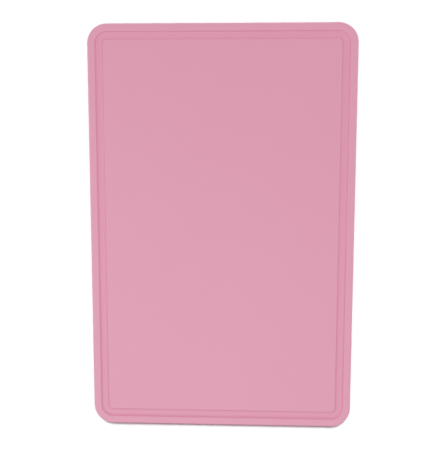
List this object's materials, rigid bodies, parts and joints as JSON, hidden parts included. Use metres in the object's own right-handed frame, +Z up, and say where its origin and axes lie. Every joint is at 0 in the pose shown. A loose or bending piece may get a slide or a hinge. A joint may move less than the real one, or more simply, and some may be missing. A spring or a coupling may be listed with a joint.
{
  "type": "cutting board",
  "caption": "Flat rectangular plastic cutting board with rounded corners, a juice groove running round its cutting face, and soft push-in feet under its corners.",
  "frame": {"origin": "on the worktop, under the middle of the board, at the underside of its feet", "axes": "+Z up, out of the cutting face; +Y along the board's length, away from the user; +X to the user's right, across the board's width"},
  "size_m": [0.3, 0.46, 0.012],
  "materials": {
    "board_plastic": "satin",
    "foot_rubber": "matte"
  },
  "bodies": {
    "root": {"board_slab": "board_plastic", "foot_front_left": "foot_rubber", "foot_front_right": "foot_rubber", "foot_back_left": "foot_rubber", "foot_back_right": "foot_rubber"}
  },
  "joints": []
}
